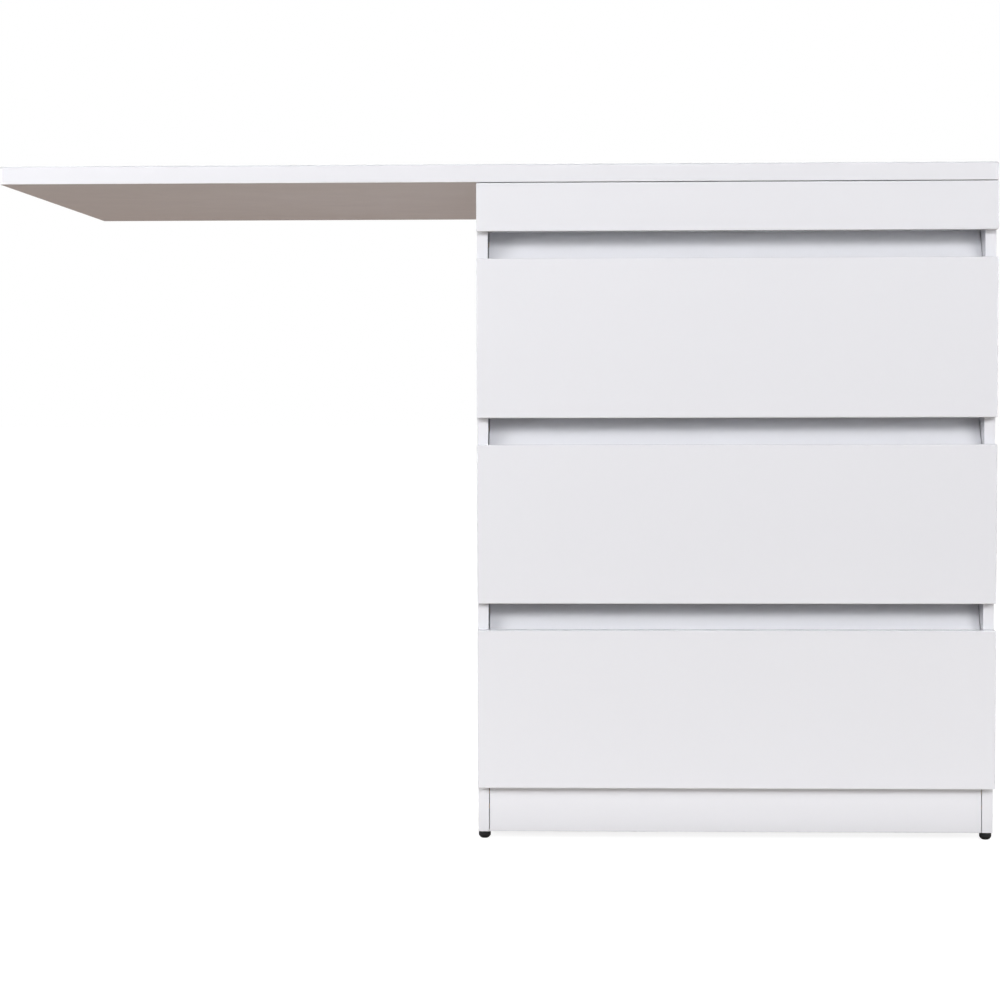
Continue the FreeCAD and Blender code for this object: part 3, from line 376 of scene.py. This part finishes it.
def piece(name, node, surfaces):
    """One mesh made of surfaces.  It stands for a CAD node, with that node's body, slot and finish."""
    points, normals, faces, start = [], [], [], 0
    for grid, grid_normals, ends in surfaces:
        rows, columns = grid.shape[:2]
        index = start + np.arange(rows * columns).reshape(rows, columns)
        lower, upper = (index, np.roll(index, -1, 0)) if ends == "ring" else (index[:-1], index[1:])
        quads = np.stack([lower, np.roll(lower, -1, 1), np.roll(upper, -1, 1), upper], 2)
        faces += quads.reshape(-1, 4).tolist()
        if ends == "capped":
            faces += [index[0, ::-1].tolist(), index[-1].tolist()]
        points.append(grid.reshape(-1, 3))
        normals.append(grid_normals.reshape(-1, 3))
        start += rows * columns
    mesh = bpy.data.meshes.new(name)
    mesh.from_pydata(np.concatenate(points).tolist(), [], faces)
    mesh.polygons.foreach_set("use_smooth", np.ones(len(mesh.polygons), bool))
    mesh.normals_split_custom_set_from_vertices(np.concatenate(normals).tolist())
    mesh.materials.append(FINISHES[SLOTS[node]])
    made = bpy.data.objects.new(name, mesh)
    SCENE.collection.objects.link(made)
    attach(made, BODIES[node])
    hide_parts(node)
    return made


# ---------------------------------------------------------------------------------------------------------
# Boards whose rounded edges catch the light
# ---------------------------------------------------------------------------------------------------------
TOP_ROUND, TOP_CORNER, TOP_ARRIS = 3.0 * MM, 3.3 * MM, 1.0 * MM
FRONT_ROUND, FRONT_CORNER, JOINT_ARRIS = 1.2 * MM, 1.3 * MM, 0.3 * MM

piece("polished_top", "desktop", [board(*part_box("desktop"), "z", TOP_CORNER, (TOP_ARRIS, TOP_ROUND))])
for level in LEVELS:
    node = f"drawer_{level}_front"
    front = board(*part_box(node), "y", FRONT_CORNER, (FRONT_ROUND, FRONT_ROUND))
    piece(f"polished_{level}_front", node, [front])
piece("polished_frieze", "frieze", [board(*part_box("frieze"), "y", FRONT_CORNER, (FRONT_ROUND, JOINT_ARRIS))])

# ---------------------------------------------------------------------------------------------------------
# Levelling feet: a moulded bowl on a threaded stem
# ---------------------------------------------------------------------------------------------------------
STEM_RADIUS, THREAD_PITCH, THREAD_DEEP, TIP_LONG = 2.5 * MM, 0.8 * MM, 0.43 * MM, 1.0 * MM
THREAD_STEPS = 8
FOOT_SHOULDER, FOOT_BOWL, FOOT_SOLE = 6.9 * MM, 3.2 * MM, 3.8 * MM
FOOT_ROUNDS = [0.1 * MM, 0.3 * MM, 2.0 * MM, 1.4 * MM, 0.8 * MM, 0.1 * MM]
GRIP_FLUTES, FLUTE_DEEP, FLUTE_STOP = 24, 0.25 * MM, 0.8 * MM


def thread(centre, low, high):
    """A screw thread between two heights.

    The radius is the full one less half the depth times (1 - cos(2 pi (height / pitch - turns))), and it
    tapers to the core over the last millimetre.
    """
    turn = np.linspace(0, 2 * np.pi, 24, endpoint=False)
    height = np.arange(low, high, THREAD_PITCH / THREAD_STEPS)[:, None]
    wave = 0.5 - 0.5 * np.cos(2 * np.pi * height / THREAD_PITCH - turn)
    taper = np.clip((height - high) / TIP_LONG + 1, 0, 1) * TIP_LONG
    radius = STEM_RADIUS - THREAD_DEEP * wave - taper
    grid = np.stack([radius * np.cos(turn), radius * np.sin(turn), height + 0 * turn], 2) + centre
    return grid, facing(grid), "capped"


def foot_bowl(centre, rim):
    """The turned bowl of a foot, with finger flutes round its rim.

    Between the bowl and the shoulder the radius loses flute depth * (1 - cos(flutes * turn)) / 2, faded over
    1 mm at both ends of the flutes.
    """
    corners = [(FOOT_SOLE, 0), (rim - FOOT_BOWL / 2, FOOT_BOWL / 3), (rim, FOOT_BOWL), (rim, FOOT_SHOULDER)]
    grid, _, ends = turned(profile(corners, FOOT_ROUNDS, 8), (0, 0, 0), "z", 8 * GRIP_FLUTES)
    turn = np.arctan2(grid[..., 1], grid[..., 0])
    height = grid[..., 2]
    band = np.clip(np.minimum(height - FOOT_BOWL, FOOT_SHOULDER - FLUTE_STOP - height) / MM + 0.5, 0, 1)
    inward = FLUTE_DEEP * band * (0.5 - 0.5 * np.cos(GRIP_FLUTES * turn))
    grid[..., 0] -= inward * np.cos(turn)
    grid[..., 1] -= inward * np.sin(turn)
    return grid + centre, facing(grid), ends


for end in ("front", "back"):
    for side in SIDES:
        node = f"foot_{end}_{side}"
        low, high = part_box(node)
        middle = np.array([(low.x + high.x) / 2, (low.y + high.y) / 2, low.z])
        piece(f"levelling_{node}", node, [foot_bowl(middle, (high.x - low.x) / 2),
                                          thread(middle, FOOT_SHOULDER, high.z - low.z)])

# ---------------------------------------------------------------------------------------------------------
# Runners: rolled steel members, nylon rollers on riveted axles, pan-head screws
# ---------------------------------------------------------------------------------------------------------
METAL, BEND, LIP_ROUND, CUT_ARRIS = 1.2 * MM, 1.6 * MM, 0.5 * MM, 0.15 * MM
INNER_BEND = BEND - METAL
CHANNEL_BENDS = [BEND, LIP_ROUND, LIP_ROUND, INNER_BEND, INNER_BEND, LIP_ROUND, LIP_ROUND, BEND]
TRACK_BENDS = [BEND, LIP_ROUND, LIP_ROUND, INNER_BEND, BEND, LIP_ROUND, LIP_ROUND, INNER_BEND]
AXLE_RADIUS, RIVET_RADIUS, RIVET_HIGH = 2.5 * MM, 4.0 * MM, 1.0 * MM
RIVET_ROUNDS = [0.1 * MM, 0.1 * MM, 0.2 * MM, 0.2 * MM, 0.7 * MM, 0.1 * MM]
HEAD_RADIUS, HEAD_HIGH, SCREW_RADIUS, SCREW_LONG = 3.0 * MM, 1.2 * MM, 1.5 * MM, 10 * MM
CROSS_ARM, CROSS_REACH, CROSS_DEEP = 0.42 * MM, 1.9 * MM, 0.9 * MM
SEAT_GAP, SCREW_COLUMNS = 0.01 * MM, 48
END_SCREW = 60 * MM
ROLLER_WIDE, ROLLER_LIP, ROLLER_DISH, ROLLER_EDGE = 6.0 * MM, 1.6 * MM, 0.6 * MM, 0.8 * MM
BORE_EDGE, DISH_EDGE, AXLE_PLAY, HEAD_GAP = 0.2 * MM, 0.15 * MM, 0.05 * MM, 0.5 * MM


def rivet(foot_x, head_x, axle):
    """An axle along X, from its foot to the outer face of its domed head; axle is its (y, z)."""
    long = abs(head_x - foot_x)
    corners = [(AXLE_RADIUS, 0), (AXLE_RADIUS, long - RIVET_HIGH), (RIVET_RADIUS, long - RIVET_HIGH),
               (RIVET_RADIUS, long)]
    return turned(profile(corners, RIVET_ROUNDS), (foot_x, *axle), "x", 32, np.sign(head_x - foot_x))


def screw(centre, axis, flip):
    """A pan-head screw from the underside of its head; heights run out of the head.

    The head's height is high * sqrt(1 - (r / R)^4).  A cross sinks into it by deep wherever the smaller of
    |x| and |y| is under the arm's half width and r under the cross's reach, with both edges eased over a
    few tenths of themselves.
    """
    turn = np.linspace(0, 2 * np.pi, SCREW_COLUMNS, endpoint=False) * flip
    share = np.cos(np.linspace(0, np.pi / 2 - 0.02, 20))[:, None]
    radius = HEAD_RADIUS * share
    x, y = radius * np.cos(turn), radius * np.sin(turn)
    arm = np.clip((CROSS_ARM * 1.2 - np.minimum(abs(x), abs(y))) / (CROSS_ARM * 0.4), 0, 1)
    reach = np.clip((CROSS_REACH * 1.1 - radius) / (CROSS_REACH * 0.2), 0, 1)
    height = HEAD_HIGH * np.sqrt(1 - share ** 4) - CROSS_DEEP * arm * reach
    head = np.stack([x, y, height * flip], 2)
    below = np.array([(SCREW_RADIUS * 0.2, -SCREW_LONG), (SCREW_RADIUS, SCREW_RADIUS - SCREW_LONG),
                      (SCREW_RADIUS, -SEAT_GAP), (HEAD_RADIUS - SEAT_GAP, 0)])
    shank = np.stack([below[:, :1] * np.cos(turn), below[:, :1] * np.sin(turn),
                      np.repeat(below[:, 1:] * flip, SCREW_COLUMNS, 1)], 2)
    grid = along(axis, np.concatenate([shank, head])) + np.array(centre)
    return grid, facing(grid), "capped"


def roller(low_x, high_x, rim, axle):
    """A roller between two places along X: a turned ring with a bore, a dished side and a rounded tread."""
    half = (high_x - low_x) / 2
    bore, hub, lip, dish = AXLE_RADIUS + AXLE_PLAY, rim * 2 / 3, rim - ROLLER_LIP, ROLLER_DISH - half
    corners = [(bore, -half), (hub, -half), (hub, dish), (lip, dish), (lip, -half), (rim, -half), (rim, half),
               (bore, half)]
    radii = [BORE_EDGE, *4 * [DISH_EDGE], ROLLER_EDGE, ROLLER_EDGE, BORE_EDGE]
    return turned(rounded(corners, radii, 5), ((low_x + high_x) / 2, *axle), "x", 64, ends="ring")


def section(side, low, high, corners, radii):
    """A runner's outline as (z, x) points.  A corner is (distance from its edge at the panel, height)."""
    across, z = np.array(corners).T
    x = low.x + across if side == "left" else high.x - across
    return rounded(np.stack([low.z + z, x], 1), radii)


def runner(outline, low, high, web_x, head_x, axle):
    """A runner member: a strip rolled to its outline, with a riveted axle from its web to the axle's head."""
    return [bar(outline, "y", low.y, high.y, (CUT_ARRIS, CUT_ARRIS)), rivet(web_x, head_x, axle)]


def cabinet_runner(side, low, high, axle):
    """The channel on a side panel, open towards the drawer."""
    lip, tall = high.x - low.x, high.z - low.z
    outline = section(side, low, high, [
        (0, 0), (lip, 0), (lip, METAL), (METAL, METAL), (METAL, tall - METAL), (lip, tall - METAL),
        (lip, tall), (0, tall)], CHANNEL_BENDS)
    if side == "left":
        return runner(outline, low, high, low.x + METAL, high.x - HEAD_GAP, axle)
    return runner(outline, low, high, high.x - METAL, low.x + HEAD_GAP, axle)


def drawer_runner(side, low, high, board_thick, axle):
    """The track on a drawer: a foot under the drawer's side, a web, and a flange into the channel."""
    wide, tall = high.x - low.x, high.z - low.z
    web = wide - board_thick
    outline = section(side, low, high, [
        (web - METAL, 0), (wide, 0), (wide, METAL), (web, METAL), (web, tall), (0, tall), (0, tall - METAL),
        (web - METAL, tall - METAL)], TRACK_BENDS)
    if side == "left":
        return runner(outline, low, high, low.x + web - METAL, low.x + HEAD_GAP, axle)
    return runner(outline, low, high, high.x - web + METAL, high.x - HEAD_GAP, axle)


def screw_places(low, high):
    """Where a runner's three screws sit between its ends."""
    return [low + END_SCREW, (low + high) / 2, high - END_SCREW]


cabinet_screws = []
for level in LEVELS:
    axles = {}
    for member in ("cabinet", "drawer"):
        node = f"{member}_{level}_rollers"
        low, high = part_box(node)
        rim, axles[member] = (high.z - low.z) / 2, ((low.y + high.y) / 2, (low.z + high.z) / 2)
        piece(f"{member}_{level}_nylon_rollers", node,
              [roller(low.x, low.x + ROLLER_WIDE, rim, axles[member]),
               roller(high.x - ROLLER_WIDE, high.x, rim, axles[member])])
    drawer_screws = []
    for side in SIDES:
        node = f"cabinet_runner_{level}_{side}"
        low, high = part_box(node)
        piece(f"rolled_{node}", node, cabinet_runner(side, low, high, axles["cabinet"]))
        web_x, flip = (low.x + METAL, 1) if side == "left" else (high.x - METAL, -1)
        cabinet_screws += [screw((web_x, y, (low.z + high.z) / 2), "x", flip)
                           for y in screw_places(low.y, high.y)]

        node = f"drawer_{level}_runner_{side}"
        low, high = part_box(node)
        side_low, side_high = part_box(f"drawer_{level}_side_{side}")
        piece(f"rolled_{node}", node,
              drawer_runner(side, low, high, side_high.x - side_low.x, axles["drawer"]))
        middle = (side_low.x + side_high.x) / 2
        drawer_screws += [screw((middle, y, low.z), "z", -1) for y in screw_places(low.y, high.y)]
    piece(f"drawer_{level}_pan_screws", f"drawer_{level}_runner_screws", drawer_screws)
piece("cabinet_pan_screws", "runner_screws", cabinet_screws)

# ---------------------------------------------------------------------------------------------------------
# Stage, light and camera
# ---------------------------------------------------------------------------------------------------------
# The camera sees a white floor and backdrop; the light they bounce is a studio's dimmer, warmer grey.  The
# floor's glow grows with the distance from the desk, so only the floor near it takes a shade.
FLOOR_HALF = 30.0
GLOW_NEAR, GLOW_FAR = 0.88, 1.0
NEAR, FAR = 1.2, 2.6
floor_corners = [(-FLOOR_HALF, -FLOOR_HALF), (FLOOR_HALF, -FLOOR_HALF), (FLOOR_HALF, FLOOR_HALF),
                 (-FLOOR_HALF, FLOOR_HALF)]
floor_mesh = bpy.data.meshes.new("floor")
floor_mesh.from_pydata([(x, y, cad_low.z) for x, y in floor_corners], [], [(0, 1, 2, 3)])
floor = bpy.data.objects.new("floor", floor_mesh)
SCENE.collection.objects.link(floor)
floor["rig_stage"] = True

floor_paint = bpy.data.materials.new("matt_studio_floor")
floor_paint.use_nodes = True
tree = floor_paint.node_tree
tree.nodes.clear()
ray = add(tree, "LightPath")
distance = add(tree, "VectorMath", {0: add(tree, "TexCoord").outputs["Object"]}, operation="LENGTH")
away = add(tree, "MapRange", {"Value": distance.outputs["Value"]},
           From_Min=NEAR, From_Max=FAR, To_Min=GLOW_NEAR, To_Max=GLOW_FAR)
glow = add(tree, "Emission", {"Strength": away.outputs["Result"]})
pale = add(tree, "BsdfDiffuse", Color=tint("#A0A0A0"))
seen = add(tree, "AddShader")
tree.links.new(pale.outputs[0], seen.inputs[0])
tree.links.new(glow.outputs[0], seen.inputs[1])
bounced = add(tree, "BsdfDiffuse", Color=tint("#A1998F"))
choice = add(tree, "MixShader", {"Fac": ray.outputs["Is Camera Ray"]})
tree.links.new(bounced.outputs[0], choice.inputs[1])
tree.links.new(seen.outputs[0], choice.inputs[2])
add(tree, "OutputMaterial", {"Surface": choice.outputs[0]})
floor_mesh.materials.append(floor_paint)

world = bpy.data.worlds.new("studio")
SCENE.world = world
world.use_nodes = True
tree = world.node_tree
tree.nodes.clear()
ray = add(tree, "LightPath")
fill = add(tree, "Background", Color=tint("#FCFAFF"), Strength=0.05)
white = add(tree, "Background", Color=(1.0, 1.0, 1.0, 1.0), Strength=1.0)
choice = add(tree, "MixShader", {"Fac": ray.outputs["Is Camera Ray"]})
tree.links.new(fill.outputs[0], choice.inputs[1])
tree.links.new(white.outputs[0], choice.inputs[2])
add(tree, "OutputWorld", {"Surface": choice.outputs[0]})


def soft_box(name, place, target, wide, high, watts, colour):
    """A rectangular lamp at place, turned to target, that the camera doesn't see."""
    lamp = bpy.data.lights.new(name, "AREA")
    lamp.shape = "RECTANGLE"
    lamp.size, lamp.size_y = wide, high
    lamp.energy = watts
    lamp.color = tint(colour)[:3]
    item = bpy.data.objects.new(name, lamp)
    item.location = place
    item.rotation_mode = "QUATERNION"
    item.rotation_quaternion = (Vector(target) - Vector(place)).to_track_quat("-Z", "Y")
    item.visible_camera = False
    SCENE.collection.objects.link(item)


def around(target, azimuth, elevation, distance):
    """A place at this distance from target; azimuth is from the front towards the right, in degrees."""
    a, e = math.radians(azimuth), math.radians(elevation)
    return target + Vector((math.sin(a) * math.cos(e), -math.cos(a) * math.cos(e), math.sin(e))) * distance


# A wide card in front, above what the fronts mirror, gives the even white; a box at each side of it shapes
# the gaps.  The card overhead reaches the top and the inside of an open drawer.  The card behind is what the
# underside of the top mirrors at its shallow angle.  The strip on the floor lifts the plinth, as white paper
# would.  The cards at the ends and above the back stand behind the plane of the fronts: they light the ends,
# the back and the top alone.
UPPER_AIM = Vector((0.2, -0.2, 0.6))
LOWER_AIM = Vector((0.2, -0.2, 0.4))
MIDDLE = Vector((0, 0, 0.5))
PAPER_LIFT = 3 * MM
soft_box("front_card", (0.2, -5.0, 2.1), (0.2, 0, 2.1), 7.0, 1.0, 108, "#FDFDFF")
soft_box("overhead_card", (0.25, -1.8, 3.3), (0.25, -0.35, 0.5), 2.6, 1.2, 6, "#FDFDFF")
soft_box("left_box", around(UPPER_AIM, -46, 10, 2.2), UPPER_AIM, 0.8, 0.8, 17, "#FDFDFF")
soft_box("right_box", around(LOWER_AIM, 32, 12, 2.6), LOWER_AIM, 1.0, 1.0, 18, "#FDFDFF")
soft_box("back_card", (0, 5.5, 1.0), (0, 0, 1.0), 14, 2.2, 28, "#FFE6DA")
soft_box("floor_card", (0.26, -0.43, cad_low.z + PAPER_LIFT), (0.26, -0.43, 1.0), 1.2, 0.24, 0.30, "#FFFFFF")
soft_box("left_end_card", (-5.0, 1.5, 1.3), MIDDLE, 3.5, 2.4, 110, "#FDFDFF")
soft_box("right_end_card", (5.0, 1.5, 1.3), MIDDLE, 3.5, 2.4, 110, "#FDFDFF")
soft_box("rear_top_card", (0, 3.0, 3.2), MIDDLE, 4.0, 2.0, 110, "#FDFDFF")

# The camera stands low in front of the drawers' left edge and looks a little down and to the left.
CAMERA_PLACE = Vector((0.0952, cad_low.y - 2.7346, 0.5025))
CAMERA_YAW, CAMERA_PITCH, CAMERA_ROLL = 0.0335, 0.0447, 0.00235
SENSOR_MM = 36.0
FOCAL_IN_FRAMES = 2.4772

level_forward = Vector((-math.sin(CAMERA_YAW), math.cos(CAMERA_YAW), 0))
forward = math.cos(CAMERA_PITCH) * level_forward - Vector((0, 0, math.sin(CAMERA_PITCH)))
level_right = Vector((math.cos(CAMERA_YAW), math.sin(CAMERA_YAW), 0))
level_down = forward.cross(level_right)
right = math.cos(CAMERA_ROLL) * level_right + math.sin(CAMERA_ROLL) * level_down
down = -math.sin(CAMERA_ROLL) * level_right + math.cos(CAMERA_ROLL) * level_down
camera_data = bpy.data.cameras.new("camera")
camera_data.sensor_width = SENSOR_MM
camera_data.lens = SENSOR_MM * FOCAL_IN_FRAMES
camera_data.clip_end = 60
camera = bpy.data.objects.new("camera", camera_data)
camera_turn = Matrix((right, -down, -forward)).transposed().to_4x4()
camera.matrix_world = Matrix.Translation(CAMERA_PLACE) @ camera_turn
SCENE.collection.objects.link(camera)
SCENE.camera = camera

low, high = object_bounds()
